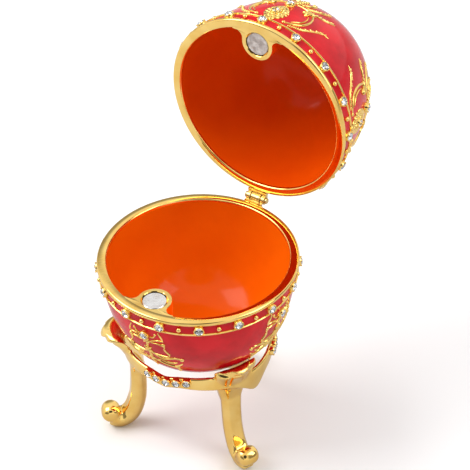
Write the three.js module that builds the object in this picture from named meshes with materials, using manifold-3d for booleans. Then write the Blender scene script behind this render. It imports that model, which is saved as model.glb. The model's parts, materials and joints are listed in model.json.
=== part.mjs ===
// Jewelled egg trinket box: an enamelled, gold-plated casting in two hinged halves,
// held by a three-legged stand.  Millimetres, +Z up, catch towards -Y, hinge towards +Y.
// The egg is drawn with its parting plane at z = 0 and its axis on Z.  The finished group is
// then shifted so that the origin lies on the ground, under the middle of the whole box.
import * as THREE from 'three';
import { mergeVertices } from 'three/addons/utils/BufferGeometryUtils.js';
import Module from 'manifold-3d';

const wasm = await Module();
wasm.setup();

// ---- driving dimensions --------------------------------------------------------------
const FIT_GAP = 0.3;            // clear space between two separate pieces that sit together
const STONE_GAP = 0.12;         // clear space between a stone and its setting
const SIDES = 36;               // facets round the egg

const RIM_RADIUS = 27.5;        // outside of the polished rim
const RIM_LAND = 2.5;           // width of the flat polished rim
const HALF_GAP = FIT_GAP / 2;   // each half stops this far from the parting plane
const OPEN_ANGLE = 92;          // degrees that the lid leans back from closed

const BOWL = { radius: 26.9, height: 30.0, belly: 1.8, square: 3.8, wall: 2.2, side: -1 };
const LID = { radius: 26.9, height: 34.6, belly: 1.75, square: 3.2, wall: 2.2, side: 1 };

const BAND = { top: 1.7, bottom: 4.2, radius: 26.95, wire: 0.5 };   // jewelled band below the rim
const STONES_ROUND = 16;
const STONE = { radius: 1.25, height: 1.3, seat: 1.45, seatHeight: 0, sides: 6 };
const STONE_DEPTH = 2.75;       // how far below the parting plane the band's stones sit

const CATCH = { reach: 21.0, radius: 4.8, depth: 6.2, neck: 7.4, hole: 3.55, recess: 2.5 };
const MAGNET = { radius: 3.2, thickness: 1.9, sunk: 0.25 };

const HINGE = { y: 29.7, barrel: 1.25, bore: 0.58, pin: 0.5, middle: 2.9, outer: 1.25, play: 0.2 };

const GROUND = -59.6;           // the floor, below the parting plane
const STAND_X = -1.2;           // the egg is soldered a little off the stand's middle
const LEG_AZIMUTHS = [219.9, 333.1, 96.5];
const RING = { inner: 19.5, outer: 21.0, stones: 5, stoneStep: 7.8, stoneLevel: -28.7 };
const KNOB = { reach: 25.86, level: -54.52, radius: 2.75, halfWidth: 3.05 };

// ---- materials -----------------------------------------------------------------------
const finish = (color, roughness, metalness) =>
  () => new THREE.MeshStandardMaterial({ color, roughness, metalness });
const redEnamel = finish(0xb5142c, 0.18, 0.1);
const gold = finish(0xe0b84e, 0.16, 1.0);
const crystal = finish(0xe8eef4, 0.05, 0.0);
const brightMagnet = finish(0xd9dad6, 0.22, 1.0);
const dullMagnet = finish(0x8f8b84, 0.6, 0.9);

// ---- solid helpers -------------------------------------------------------------------
const radians = THREE.MathUtils.degToRad;

/** A closed, outward-facing indexed geometry with shared corners. */
function closed(geometry) {
  const bare = new THREE.BufferGeometry();
  bare.setAttribute('position', geometry.getAttribute('position').clone());
  const source = geometry.index ? Array.from(geometry.index.array) : null;
  if (source) bare.setIndex(source);
  const merged = mergeVertices(bare, 1e-4);
  const index = merged.index.array;
  const kept = [];
  for (let i = 0; i < index.length; i += 3) {
    const [a, b, c] = [index[i], index[i + 1], index[i + 2]];
    if (a !== b && b !== c && c !== a) kept.push(a, b, c);
  }
  merged.setIndex(kept);
  if (volume(merged) < 0) {
    for (let i = 0; i < kept.length; i += 3) [kept[i + 1], kept[i + 2]] = [kept[i + 2], kept[i + 1]];
    merged.setIndex(kept);
  }
  return merged;
}

function volume(geometry) {
  const position = geometry.getAttribute('position');
  const index = geometry.index.array;
  const corner = [new THREE.Vector3(), new THREE.Vector3(), new THREE.Vector3()];
  let sum = 0;
  for (let i = 0; i < index.length; i += 3) {
    corner.forEach((v, k) => v.fromBufferAttribute(position, index[i + k]));
    sum += corner[0].dot(corner[1].cross(corner[2]));
  }
  return sum / 6;
}

function toSolid(geometry) {
  const ready = closed(geometry);
  return new wasm.Manifold(new wasm.Mesh({
    numProp: 3,
    vertProperties: Float32Array.from(ready.getAttribute('position').array),
    triVerts: Uint32Array.from(ready.index.array),
  }));
}

function toGeometry(solid) {
  const mesh = solid.getMesh();
  const geometry = new THREE.BufferGeometry();
  geometry.setAttribute('position', new THREE.BufferAttribute(mesh.vertProperties, 3));
  geometry.setIndex(Array.from(mesh.triVerts));
  return geometry;
}

const joined = (solids) => solids.reduce((whole, next) => whole.add(next));

/** Skin over a row of equal loops of points, closed by a fan at each end. */
function loft(loops, flat = false) {
  const count = loops[0].length;
  const points = loops.flat();
  const index = [];
  for (let i = 0; i + 1 < loops.length; i += 1) {
    for (let j = 0; j < count; j += 1) {
      const k = (j + 1) % count;
      const [a, b, c, d] = [i * count + j, i * count + k, (i + 1) * count + k, (i + 1) * count + j];
      index.push(a, b, c, a, c, d);
    }
  }
  const last = (loops.length - 1) * count;
  if (flat) {                   // a plate's end is a strip between its front and its back
    for (let j = 0; j + 1 < count / 2; j += 1) {
      const [a, b, c, d] = [j, j + 1, count - 2 - j, count - 1 - j];
      index.push(a, d, b, b, d, c);
      index.push(last + a, last + b, last + d, last + b, last + c, last + d);
    }
  } else {
    for (let j = 1; j + 1 < count; j += 1) {
      index.push(0, j + 1, j);
      index.push(last, last + j, last + j + 1);
    }
  }
  return new THREE.BufferGeometry().setFromPoints(points).setIndex(index);
}

/** Ring turned about Z from a closed outline of [radius, z] points. */
function turned(outline, sides = SIDES) {
  const profile = outline.map(([radius, z]) => new THREE.Vector2(radius, z));
  return new THREE.LatheGeometry(profile, sides).rotateX(Math.PI / 2);
}

function drum(radius, length, sides) {
  return new THREE.CylinderGeometry(radius, radius, length, sides).rotateX(Math.PI / 2);
}

/** Matrix that carries +Z onto the outward direction at a point. */
function facing(point, outward) {
  const turn = new THREE.Quaternion().setFromUnitVectors(new THREE.Vector3(0, 0, 1), outward);
  return new THREE.Matrix4().compose(point, turn, new THREE.Vector3(1, 1, 1));
}

// ---- the egg's surface ---------------------------------------------------------------
/** Radius of a half's outer surface at a distance from the parting plane. */
function bodyRadius(half, distance, inset = 0) {
  const height = half.height - inset;
  const part = Math.min(distance / height, 1) ** half.belly;
  return (half.radius - inset) * Math.max(1 - part, 0) ** (1 / half.square);
}

/** Point and outward direction on a half, at an angle round Z and a distance from the plane. */
function onBody(half, azimuth, distance) {
  const step = 0.05;
  const radius = bodyRadius(half, distance);
  const slope = (bodyRadius(half, distance + step) - bodyRadius(half, distance - step)) / (2 * step);
  const tilt = Math.hypot(1, slope);
  const [c, s] = [Math.cos(radians(azimuth)), Math.sin(radians(azimuth))];
  return {
    point: new THREE.Vector3(radius * c, radius * s, half.side * distance),
    outward: new THREE.Vector3(c / tilt, s / tilt, (-half.side * slope) / tilt),
  };
}

/** Distances from the parting plane that follow the curve evenly down to the pole. */
function bodySteps(half, from, inset, count) {
  const height = half.height - inset;
  const start = Math.asin(from / height);
  return Array.from({ length: count }, (_, i) =>
    height * Math.sin(start + ((Math.PI / 2 - start) * (i + 1)) / count));
}

/** Hollow shell of one half, with its rim, moulding, jewelled band and wire. */
function shell(half) {
  const { top, bottom, radius, wire } = BAND;
  const wireEnd = bottom + 2 * wire;
  const outer = [
    [RIM_RADIUS - 0.35, HALF_GAP],
    [RIM_RADIUS + 0.1, 0.55],
    [RIM_RADIUS + 0.1, 1.15],
    [radius, top],
    [radius, bottom],
    [radius + wire, bottom + wire],
    [bodyRadius(half, wireEnd), wireEnd],
    ...bodySteps(half, wireEnd, 0, 6).map((d) => [bodyRadius(half, d), d]),
  ];
  const mouth = RIM_RADIUS - RIM_LAND;
  const hollow = { ...half, radius: mouth + half.wall - 0.1 };
  const inner = [
    ...bodySteps(hollow, 1.5, half.wall, 5).map((d) => [bodyRadius(hollow, d, half.wall), d]).reverse(),
    [mouth - 0.1, 1.5],
    [mouth + 0.25, HALF_GAP],
  ];
  const outline = [...outer, ...inner].map(([r, d]) => [Math.max(r, 0), half.side * d]);
  return toSolid(turned([...outline, outline[0]]));
}

// ---- relief on the egg ---------------------------------------------------------------
/** Raised wire along a smooth path of [across, distance] points about a motif's azimuth. */
function wire(half, azimuth, path, width, steps, height = 0.5) {
  const curve = new THREE.CatmullRomCurve3(path.map(([a, d]) => new THREE.Vector3(a, d, 0)));
  const loops = [];
  for (let i = 0; i <= steps; i += 1) {
    const at = curve.getPoint(i / steps);
    const along = curve.getTangent(i / steps);
    const side = new THREE.Vector2(-along.y, along.x);
    const corner = (offset, lift) => {
      const [a, d] = [at.x + side.x * offset, at.y + side.y * offset];
      const turn = THREE.MathUtils.radToDeg(a / bodyRadius(half, d));
      const { point, outward } = onBody(half, azimuth + turn, d);
      return point.addScaledVector(outward, lift);
    };
    loops.push([corner(-width / 2, -0.3), corner(0, height), corner(width / 2, -0.3)]);
  }
  return toSolid(loft(loops));
}

const mirrored = (path) => path.map(([a, d]) => [-a, d]);

/** Seat that a stone rests on, standing on the surface. */
function seat(place, radius, height, sides) {
  const block = drum(radius, height + 1, sides).translate(0, 0, (height - 1) / 2);
  return toSolid(block.applyMatrix4(facing(place.point, place.outward)));
}

/** Stone just clear of what it sits on: flat table and a sloping crown. */
function stone(place, size = STONE) {
  const { radius, height, seatHeight, sides } = size;
  const base = seatHeight + STONE_GAP;
  const crown = height - STONE_GAP;
  const outline = [[0, base], [radius, base], [radius * 0.6, base + crown], [0, base + crown]];
  return closed(turned(outline, sides).applyMatrix4(facing(place.point, place.outward)));
}

const bandPlaces = (half, offset) => Array.from({ length: STONES_ROUND }, (_, i) => {
  const azimuth = 270 + (360 / STONES_ROUND) * (i + offset);
  const [c, s] = [Math.cos(radians(azimuth)), Math.sin(radians(azimuth))];
  return {
    point: new THREE.Vector3(BAND.radius * c, BAND.radius * s, half.side * STONE_DEPTH),
    outward: new THREE.Vector3(c, s, 0),
  };
});

const MOTIF_AZIMUTHS = [270, 0, 90, 180];
const MOTIF_SEAT = 0.65;        // how far a motif's stone seat stands off the surface
const BOWL_MOTIF = { stoneDepth: 8.2, back: 90 };
const LID_MOTIF = { flowerDepth: 10.2, flower: 3.0, upperDepth: 17.6 };

/** Stem with lobed leaves and a tendril on each side, one of four round the bowl. */
function bowlMotif(azimuth) {
  const leaf = [[0.4, 10.6], [3.0, 10.6], [5.3, 11.4], [6.3, 14.4], [4.2, 15.9], [0.25, 15.6]];
  const tendril = [[0.25, 16.9], [3.6, 17.1], [6.6, 15.9], [9.2, 16.4]];
  const upper = [[1.2, 10.2], [3.8, 9.3], [5.3, 8.6], [4.3, 6.2]];
  const parts = [
    wire(BOWL, azimuth, [[0, 8.9], [0, 14.6], [0, 20.7]], 1.3, 2),
    seat(onBody(BOWL, azimuth, BOWL_MOTIF.stoneDepth), 2.2, MOTIF_SEAT, 4),
  ];
  for (const [path, steps] of [[leaf, 5], [tendril, 2], [upper, 2]]) {
    parts.push(wire(BOWL, azimuth, path, 0.9, steps), wire(BOWL, azimuth, mirrored(path), 0.9, steps));
  }
  return joined(parts);
}

/** Daisy with C-scrolls that rise to a second stone, one of four round the lid. */
function lidMotif(azimuth) {
  const low = [[1.5, 12.2], [5.4, 12.8], [8.2, 9.6], [6.0, 7.2]];
  const high = [[0.6, 14.2], [4.6, 16.2], [5.8, 20.2], [2.6, 22.4]];
  const parts = [
    seat(onBody(LID, azimuth, LID_MOTIF.flowerDepth), LID_MOTIF.flower, MOTIF_SEAT + 0.4, 8),
    seat(onBody(LID, azimuth, LID_MOTIF.upperDepth), 1.8, MOTIF_SEAT, 6),
    wire(LID, azimuth, [[0, 12], [0, 17], [0, 23]], 1.2, 2),
  ];
  for (const [path, steps] of [[low, 3], [high, 3]]) {
    parts.push(wire(LID, azimuth, path, 0.9, steps), wire(LID, azimuth, mirrored(path), 0.9, steps));
  }
  return joined(parts);
}

// ---- magnet catch --------------------------------------------------------------------
/** Round boss inside the front of a half, joined to the rim by a flared neck, with a blind hole. */
function catchBoss(half) {
  const { reach, radius, depth, neck } = CATCH;
  const wallY = -(RIM_RADIUS - RIM_LAND / 2);
  const outline = new THREE.Shape();
  outline.moveTo(-neck, wallY + 1.1);
  outline.quadraticCurveTo(-radius - 0.2, wallY + 2.2, -radius, -reach);
  outline.absarc(0, -reach, radius, Math.PI, 0, true);
  outline.quadraticCurveTo(radius + 0.2, wallY + 2.2, neck, wallY + 1.1);
  outline.quadraticCurveTo(0, wallY - 0.9, -neck, wallY + 1.1);
  const block = new THREE.ExtrudeGeometry(outline, { depth, bevelEnabled: false, curveSegments: 4 });
  block.translate(0, 0, half.side > 0 ? HALF_GAP : -HALF_GAP - depth);
  return toSolid(block);
}

function catchHole(half) {
  const hole = drum(CATCH.hole, 2 * CATCH.recess, 16);
  return toSolid(hole.translate(0, -CATCH.reach, 0));
}

function magnet(half) {
  const disc = drum(MAGNET.radius, MAGNET.thickness, 16);
  const level = half.side * (HALF_GAP + MAGNET.sunk + MAGNET.thickness / 2);
  return closed(disc.translate(0, -CATCH.reach, level));
}

/** The half's whole casting: shell, catch boss and relief, with an open hollow. */
function casting(half, motif) {
  const outside = toSolid(turned([
    [0, half.side * HALF_GAP],
    [RIM_RADIUS, half.side * HALF_GAP],
    ...bodySteps(half, 1, 1, 8).map((d) => [bodyRadius(half, d, 1), half.side * d]),
  ]));
  const boss = catchBoss(half).intersect(outside);
  return joined([shell(half), boss, ...MOTIF_AZIMUTHS.map(motif)]).subtract(catchHole(half));
}

// ---- hinge ---------------------------------------------------------------------------
function knuckle(length, middle, sides = 10) {
  const { y, barrel } = HINGE;
  return toSolid(drum(barrel, length, sides).rotateY(Math.PI / 2).translate(middle, y, 0));
}

function block(width, [y0, y1], [z0, z1], middle = 0) {
  const box = new THREE.BoxGeometry(width, y1 - y0, z1 - z0);
  return toSolid(box.translate(middle, (y0 + y1) / 2, (z0 + z1) / 2));
}

function bore() {
  return toSolid(drum(HINGE.bore, 20, 10).rotateY(Math.PI / 2).translate(0, HINGE.y, 0));
}

const LEAF_Y = [RIM_RADIUS + 0.1 + FIT_GAP, RIM_RADIUS + 0.9];

/** Middle knuckle on its leaf, behind the bowl's rim. */
function bowlHinge() {
  const leaf = block(HINGE.middle + 2.4, LEAF_Y, [-2.2, -HALF_GAP]);
  const web = block(HINGE.middle, [LEAF_Y[0], HINGE.y], [-1.1, -0.3]);
  return toGeometry(joined([leaf, web, knuckle(HINGE.middle, 0)]).subtract(bore()));
}

/** Two outer knuckles on one leaf, behind the lid's rim. */
function lidHinge() {
  const { middle, outer, play } = HINGE;
  const centre = middle / 2 + play + outer / 2;
  const leaf = block(2 * (centre + outer / 2), LEAF_Y, [HALF_GAP, 1.35]);
  const sides = [-1, 1].flatMap((s) => [
    knuckle(outer, s * centre),
    block(outer, [LEAF_Y[0], HINGE.y], [0.3, 1.1], s * centre),
  ]);
  return toGeometry(joined([leaf, ...sides]).subtract(bore()));
}

/** Riveted pin through the three knuckles. */
function hingePin() {
  const half = HINGE.middle / 2 + HINGE.play + HINGE.outer;
  const { pin } = HINGE;
  const head = pin + 0.35;
  const [start, end] = [half + HINGE.play, half + HINGE.play + 0.45];
  const outline = [[0, -end], [head, -end + 0.15], [head, -start], [pin, -start], [pin, start], [head, start], [head, end - 0.15], [0, end]];
  return closed(turned(outline, 8).rotateY(Math.PI / 2).translate(0, HINGE.y, 0));
}

// ---- stand ---------------------------------------------------------------------------
/** Loft along stations of [across, reach, level, width, thickness], in the leg's own plane. */
function limb(stations, outline) {
  const centres = stations.map(([across, reach, level]) => new THREE.Vector3(across, reach, level));
  return loft(stations.map(([, , , width, thickness], i) => {
    const before = centres[Math.max(i - 1, 0)];
    const after = centres[Math.min(i + 1, centres.length - 1)];
    const along = after.clone().sub(before).normalize();
    const outward = new THREE.Vector3(0, -along.z, along.y).normalize();
    return outline.map(([u, v]) => centres[i].clone()
      .add(new THREE.Vector3((u * width) / 2, 0, 0))
      .addScaledVector(outward, (v * thickness) / 2));
  }));
}

// Flat front face with bevelled sides, and a narrower back.
const LEG_SECTION = [
  [0.4, -1], [0.88, -0.4], [1, 0.3], [0.6, 1], [-0.6, 1], [-1, 0.3], [-0.88, -0.4], [-0.4, -1],
];
const LEG_STATIONS = [
  [0, 17.4, -38.0, 6.2, 4.2],
  [0, 17.4, -44.0, 5.8, 4.5],
  [0, 18.0, -49.8, 5.7, 4.7],
  [0, 19.9, -55.0, 5.7, 5.0],
  [0, 23.0, -57.3, 5.8, 5.2],
  [0, 25.3, -56.3, 6.0, 5.3],
];
// The head's spine as [reach, level, half width, thickness], from the shank to the curled lip, where
// it is bent fully outwards and where it stands upright, and how far each leg's head is bent out.
const HEAD_OUT = [
  [17.4, -40.6, 2.5, 3.5],
  [17.7, -35.6, 3.8, 4.2],
  [19.4, -30.6, 5.1, 3.8],
  [22.2, -26.4, 6.0, 3.3],
  [24.9, -24.6, 6.2, 2.8],
  [26.5, -25.9, 6.0, 1.8],
];
const HEAD_UPRIGHT = [
  [17.4, -40.6, 2.5, 3.5],
  [17.7, -35.6, 3.8, 4.2],
  [19.1, -30.8, 5.2, 3.7],
  [20.6, -27.2, 6.0, 3.1],
  [22.0, -24.7, 6.3, 2.7],
  [23.3, -23.9, 6.1, 1.9],
];
const HEAD_BEND = [1, 0.5, 0.5];
const HEAD_WRAP = [0.03, 0.085];        // how far it wraps round the bowl for each square millimetre across
// Places across one half of it, and how far short of the lip its three-lobed rim stops there.
const HEAD_RIM = [[0.18, 0], [0.42, 0.16], [0.7, 0.07], [1, 0.3]];

/** The shank fans out into one plate that curls outwards, with three lobes at its rim. */
function head(bend) {
  const spine = HEAD_OUT.map((station, row) =>
    station.map((value, k) => HEAD_UPRIGHT[row][k] + (value - HEAD_UPRIGHT[row][k]) * bend));
  const halves = [...HEAD_RIM].reverse().concat(HEAD_RIM.map(([u, drop]) => [-u, drop]));
  const at = (place) => {
    const i = Math.min(Math.floor(place), spine.length - 2);
    return spine[i].map((value, k) => value + (spine[i + 1][k] - value) * (place - i));
  };
  return loft(spine.map((_, row) => {
    const rise = row / (spine.length - 1);
    const cut = Math.max((rise - 0.35) / 0.65, 0);
    const face = (side) => halves.map(([u, drop]) => {
      const place = row * (1 - drop * cut);
      const [reach, level, halfWidth, thickness] = at(place);
      const [before, after] = [at(Math.max(place - 0.5, 0)), at(Math.min(place + 0.5, spine.length - 1))];
      const [dy, dz] = [after[0] - before[0], after[1] - before[1]];
      const off = (side * thickness * (1 - 0.5 * u ** 4)) / 2 / Math.hypot(dy, dz);
      const wrap = (HEAD_WRAP[0] + (HEAD_WRAP[1] - HEAD_WRAP[0]) * bend) * rise * (u * halfWidth) ** 2;
      return new THREE.Vector3(u * halfWidth, reach - wrap + off * dz, level - off * dy);
    });
    return [...face(1), ...face(-1).reverse()];
  }), true);
}

/** One leg: three-lobed head, bevelled shank and a foot that rolls up to a knob. */
function leg(azimuth, i) {
  const knob = new THREE.SphereGeometry(KNOB.radius, 8, 4)
    .scale(KNOB.halfWidth / KNOB.radius, 1, 1)
    .translate(0, KNOB.reach, KNOB.level);
  return joined([limb(LEG_STATIONS, LEG_SECTION), head(HEAD_BEND[i]), knob].map((part) =>
    toSolid(part.rotateZ(radians(azimuth - 90)).translate(STAND_X, 0, 0))));
}

/** Outline of the festoon between two legs: u runs from -1 to 1 across its span. */
function festoonEdge(u, sag) {
  const centre = Math.exp(-((u / 0.16) ** 2));
  const swell = Math.cos(u * Math.PI * 1.5);
  const drop = sag * (1 - u ** 6);
  const bulge = sag * 1.0 * Math.exp(-(((u + 0.68) / 0.16) ** 2));
  return {
    top: -26.9 - 0.9 * centre - 1.6 * u ** 4 - drop,
    bottom: -30.8 - 1.0 * centre + 0.45 * swell - 2.4 * u ** 4 - drop - bulge,
  };
}

function festoon([from, to], sag) {
  const steps = 10;
  const loops = Array.from({ length: steps + 1 }, (_, i) => {
    const u = (2 * i) / steps - 1;
    const angle = radians(from + ((to - from) * i) / steps);
    const { top, bottom } = festoonEdge(u, sag);
    const ring = [
      [RING.inner, top - 0.3], [(RING.inner + RING.outer) / 2, top], [RING.outer, top - 0.4],
      [RING.outer, bottom + 0.5], [RING.inner + 0.4, bottom],
    ];
    return ring.map(([r, z]) => new THREE.Vector3(STAND_X + r * Math.cos(angle), r * Math.sin(angle), z));
  });
  return toSolid(loft(loops));
}

const FESTOON_SAG = [0, 3.0, 0];
const STONE_TURN = [2.8, 0, 0];   // the front festoon's stones sit a little to the right
const festoonSpans = LEG_AZIMUTHS.map((from, i) => {
  const next = LEG_AZIMUTHS[(i + 1) % LEG_AZIMUTHS.length];
  return [from, next > from ? next : next + 360];
});

const festoonStonePlaces = festoonSpans.flatMap(([from, to], span) =>
  Array.from({ length: RING.stones }, (_, i) => {
    const step = i - (RING.stones - 1) / 2;
    const azimuth = (from + to) / 2 + step * RING.stoneStep + STONE_TURN[span];
    const level = RING.stoneLevel + 0.35 * Math.abs(step) - FESTOON_SAG[span];
    const [c, s] = [Math.cos(radians(azimuth)), Math.sin(radians(azimuth))];
    return {
      point: new THREE.Vector3(STAND_X + RING.outer * c, RING.outer * s, level),
      outward: new THREE.Vector3(c, s, 0),
    };
  }));

const RING_STONE = { ...STONE, radius: 1.15, height: 1.1 };

/** Whole stand as one casting, with its seat cut to the bowl and three flat soles. */
function stand() {
  const legs = LEG_AZIMUTHS.map(leg);
  const festoons = festoonSpans.map((span, i) => festoon(span, FESTOON_SAG[i]));
  const bowlRoom = toSolid(turned([
    [0, -16],
    ...bodySteps(BOWL, 16, -FIT_GAP, 5).map((d) => [bodyRadius(BOWL, d, -FIT_GAP), -d]),
  ]));
  const below = toSolid(new THREE.BoxGeometry(90, 90, 10).translate(0, 0, GROUND - 5));
  return toGeometry(joined([...legs, ...festoons]).subtract(bowlRoom).subtract(below));
}

// ---- assembly ------------------------------------------------------------------------
function piece(name, geometry, material) {
  const mesh = new THREE.Mesh(geometry, material());
  mesh.name = name;
  return mesh;
}

const box = new THREE.Group();
const base = new THREE.Group();
const lid = new THREE.Group();

const MOTIF_STONE = { ...STONE, radius: 1.15, seatHeight: MOTIF_SEAT };
const motifStones = (half, depths) => MOTIF_AZIMUTHS.flatMap((azimuth) =>
  depths.map((depth) => onBody(half, azimuth, depth)));

base.add(
  piece('stand', stand(), gold),
  piece('bowl', toGeometry(casting(BOWL, bowlMotif)), redEnamel),
  piece('bowl_magnet', magnet(BOWL), brightMagnet),
  piece('bowl_hinge_leaf', bowlHinge(), gold),
  piece('hinge_pin', hingePin(), gold),
);
bandPlaces(BOWL, 0.5).forEach((place, i) =>
  base.add(piece(`bowl_band_stone_${i + 1}`, stone(place), crystal)));
motifStones(BOWL, [BOWL_MOTIF.stoneDepth]).forEach((place, i) =>
  base.add(piece(`bowl_motif_stone_${i + 1}`, stone(place, MOTIF_STONE), crystal)));
festoonStonePlaces.forEach((place, i) =>
  base.add(piece(`stand_stone_${i + 1}`, stone(place, RING_STONE), crystal)));

lid.add(
  piece('lid', toGeometry(casting(LID, lidMotif)), redEnamel),
  piece('lid_magnet', magnet(LID), dullMagnet),
  piece('lid_hinge_leaf', lidHinge(), gold),
);
bandPlaces(LID, 0).forEach((place, i) =>
  lid.add(piece(`lid_band_stone_${i + 1}`, stone(place), crystal)));

// The lid turns about the hinge's axis and is shown leaning open on its stop.
lid.children.forEach((mesh) => mesh.geometry.translate(0, -HINGE.y, 0));
lid.position.y = HINGE.y;
lid.rotation.x = -radians(OPEN_ANGLE);

const whole = new THREE.Group();
whole.add(base, lid);
const bounds = new THREE.Box3().setFromObject(whole, true);
const middle = bounds.getCenter(new THREE.Vector3());
whole.position.set(-middle.x, -middle.y, -bounds.min.z);
box.add(whole);

export default box;
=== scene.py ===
import json
import math

import bmesh
import bpy
from mathutils import Matrix, Vector


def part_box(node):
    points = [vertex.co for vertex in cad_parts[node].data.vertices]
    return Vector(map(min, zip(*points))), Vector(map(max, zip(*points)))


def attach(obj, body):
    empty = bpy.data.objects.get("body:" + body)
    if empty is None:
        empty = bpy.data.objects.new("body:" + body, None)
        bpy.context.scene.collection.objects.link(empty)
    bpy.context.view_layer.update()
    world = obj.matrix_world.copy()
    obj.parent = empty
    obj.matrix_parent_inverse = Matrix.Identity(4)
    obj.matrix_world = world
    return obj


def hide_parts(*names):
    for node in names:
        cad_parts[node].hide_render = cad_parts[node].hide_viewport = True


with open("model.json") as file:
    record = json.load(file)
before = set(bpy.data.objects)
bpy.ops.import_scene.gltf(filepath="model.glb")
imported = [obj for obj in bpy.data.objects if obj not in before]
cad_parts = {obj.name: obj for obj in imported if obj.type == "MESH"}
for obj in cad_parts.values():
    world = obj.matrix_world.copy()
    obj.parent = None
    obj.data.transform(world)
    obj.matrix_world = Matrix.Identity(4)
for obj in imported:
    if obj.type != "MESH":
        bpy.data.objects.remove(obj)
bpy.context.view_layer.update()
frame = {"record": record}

# ---- Studio -------------------------------------------------------------------------
# A pale floor in soft daylight, with a large key lamp up to the left and a weaker one to the
# right. A long-lens camera looks down on the catch from its right.
MM = 0.001
HALF_GAP = 0.15                      # each half of the egg stops this far from the parting plane
bowl_low, bowl_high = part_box("bowl")
EGG = Vector(((bowl_low[0] + bowl_high[0]) / 2, (bowl_low[1] + bowl_high[1]) / 2,
              bowl_high[2] + HALF_GAP * MM))


def egg_place():
    """Carries millimetres about the egg's middle to the frame."""
    return Matrix.Translation(EGG) @ Matrix.Scale(MM, 4)


def linked(name, data):
    """A new object in the scene that shows the data."""
    item = bpy.data.objects.new(name, data)
    bpy.context.scene.collection.objects.link(item)
    return item


def add_node(tree, kind, inputs=None, **settings):
    """A node with its settings, each given input linked from a socket or holding a plain value."""
    node = tree.nodes.new(kind)
    for key, value in settings.items():
        setattr(node, key, value)
    for key, value in (inputs or {}).items():
        if isinstance(value, bpy.types.NodeSocket):
            tree.links.new(value, node.inputs[key])
        else:
            node.inputs[key].default_value = value
    return node


def new_material(name):
    """(material, its node tree, the inputs of its shader)."""
    material = bpy.data.materials.new(name)
    material.use_nodes = True
    return material, material.node_tree, material.node_tree.nodes["Principled BSDF"].inputs


CAMERA_TURN, CAMERA_RISE, CAMERA_ROLL = math.radians(34.03), math.radians(39.43), math.radians(-1.91)
CAMERA_SHIFT = Vector((-10.03, -5.72, -677.61))
FOCAL_PER_FRAME = 2500 / 470         # focal length over frame width
SENSOR = 36

right = Vector((math.cos(CAMERA_TURN), math.sin(CAMERA_TURN), 0))
back = Vector((math.sin(CAMERA_TURN) * math.cos(CAMERA_RISE),
               -math.cos(CAMERA_TURN) * math.cos(CAMERA_RISE), math.sin(CAMERA_RISE)))
up = back.cross(right)
rolled_right = right * math.cos(CAMERA_ROLL) + up * math.sin(CAMERA_ROLL)
rolled_up = up * math.cos(CAMERA_ROLL) - right * math.sin(CAMERA_ROLL)
camera_turn = Matrix((rolled_right, rolled_up, back)).transposed()
camera_data = bpy.data.cameras.new("camera")
camera_data.sensor_width = SENSOR
camera_data.lens = SENSOR * FOCAL_PER_FRAME
camera_data.clip_end = 20
camera = linked("camera", camera_data)
camera.matrix_world = Matrix.Translation(EGG - camera_turn @ CAMERA_SHIFT * MM) @ camera_turn.to_4x4()
bpy.context.scene.camera = camera

FLOOR_REACH = 6
FLOOR_TONES = {"A": (0.62, 0.62, 0.62, 1), "B": (0.93, 0.93, 0.93, 1)}      # to the egg, to the camera
floor_mesh = bpy.data.meshes.new("floor")
floor_corners = [(x * FLOOR_REACH, y * FLOOR_REACH, 0) for x, y in ((-1, -1), (1, -1), (1, 1), (-1, 1))]
floor_mesh.from_pydata(floor_corners, [], [(0, 1, 2, 3)])
floor = linked("floor", floor_mesh)
floor_paper, paper, paper_inputs = new_material("floor_paper")
seen = paper.nodes.new("ShaderNodeLightPath").outputs["Is Camera Ray"]
tone = add_node(paper, "ShaderNodeMix", {"Factor": seen, **FLOOR_TONES}, data_type='RGBA')
paper.links.new(tone.outputs["Result"], paper_inputs["Base Color"])
paper_inputs["Roughness"].default_value = 0.7
floor_mesh.materials.append(floor_paper)


def lamp(name, place, aim, size, power):
    """A rectangular lamp aimed at a spot."""
    data = bpy.data.lights.new(name, 'AREA')
    data.shape = 'RECTANGLE'
    data.size, data.size_y = size
    data.energy = power
    item = linked(name, data)
    item.location = place
    item.rotation_euler = (Vector(aim) - Vector(place)).to_track_quat('-Z', 'Y').to_euler()


lamp("key_lamp", (-0.55, -0.3, 0.75), (0, 0, 0.06), (0.6, 0.6), 5.5)
lamp("fill_lamp", (0.65, 0.15, 0.6), (0, 0, 0.06), (0.4, 0.6), 2.4)

world = bpy.data.worlds.new("daylight")
world.use_nodes = True
sky = world.node_tree
direction = sky.nodes.new("ShaderNodeTexCoord").outputs["Generated"]
DARK_PLACES = [((0.43, -0.64, 0.63), 0.9, 0.965, 0.06), ((0.9, 0.3, 0.25), 0.72, 0.9, 0.3),
               ((-0.2, -1.0, 0.05), 0.8, 0.93, 0.25), ((-0.7, 0.7, 0.2), 0.82, 0.95, 0.35)]


def dimmed(light, towards, edge, core, tone):
    """The light, falling to a tone of itself round one direction of the room."""
    facing = add_node(sky, "ShaderNodeVectorMath", {0: direction, 1: Vector(towards).normalized()},
                      operation='DOT_PRODUCT')
    ease = add_node(sky, "ShaderNodeMapRange", {"Value": facing.outputs["Value"], "From Min": edge,
                                                "From Max": core, "To Min": 1.0, "To Max": tone},
                    interpolation_type='SMOOTHSTEP')
    return add_node(sky, "ShaderNodeMath", {0: light, 1: ease.outputs["Result"]},
                    operation='MULTIPLY').outputs[0]


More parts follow.
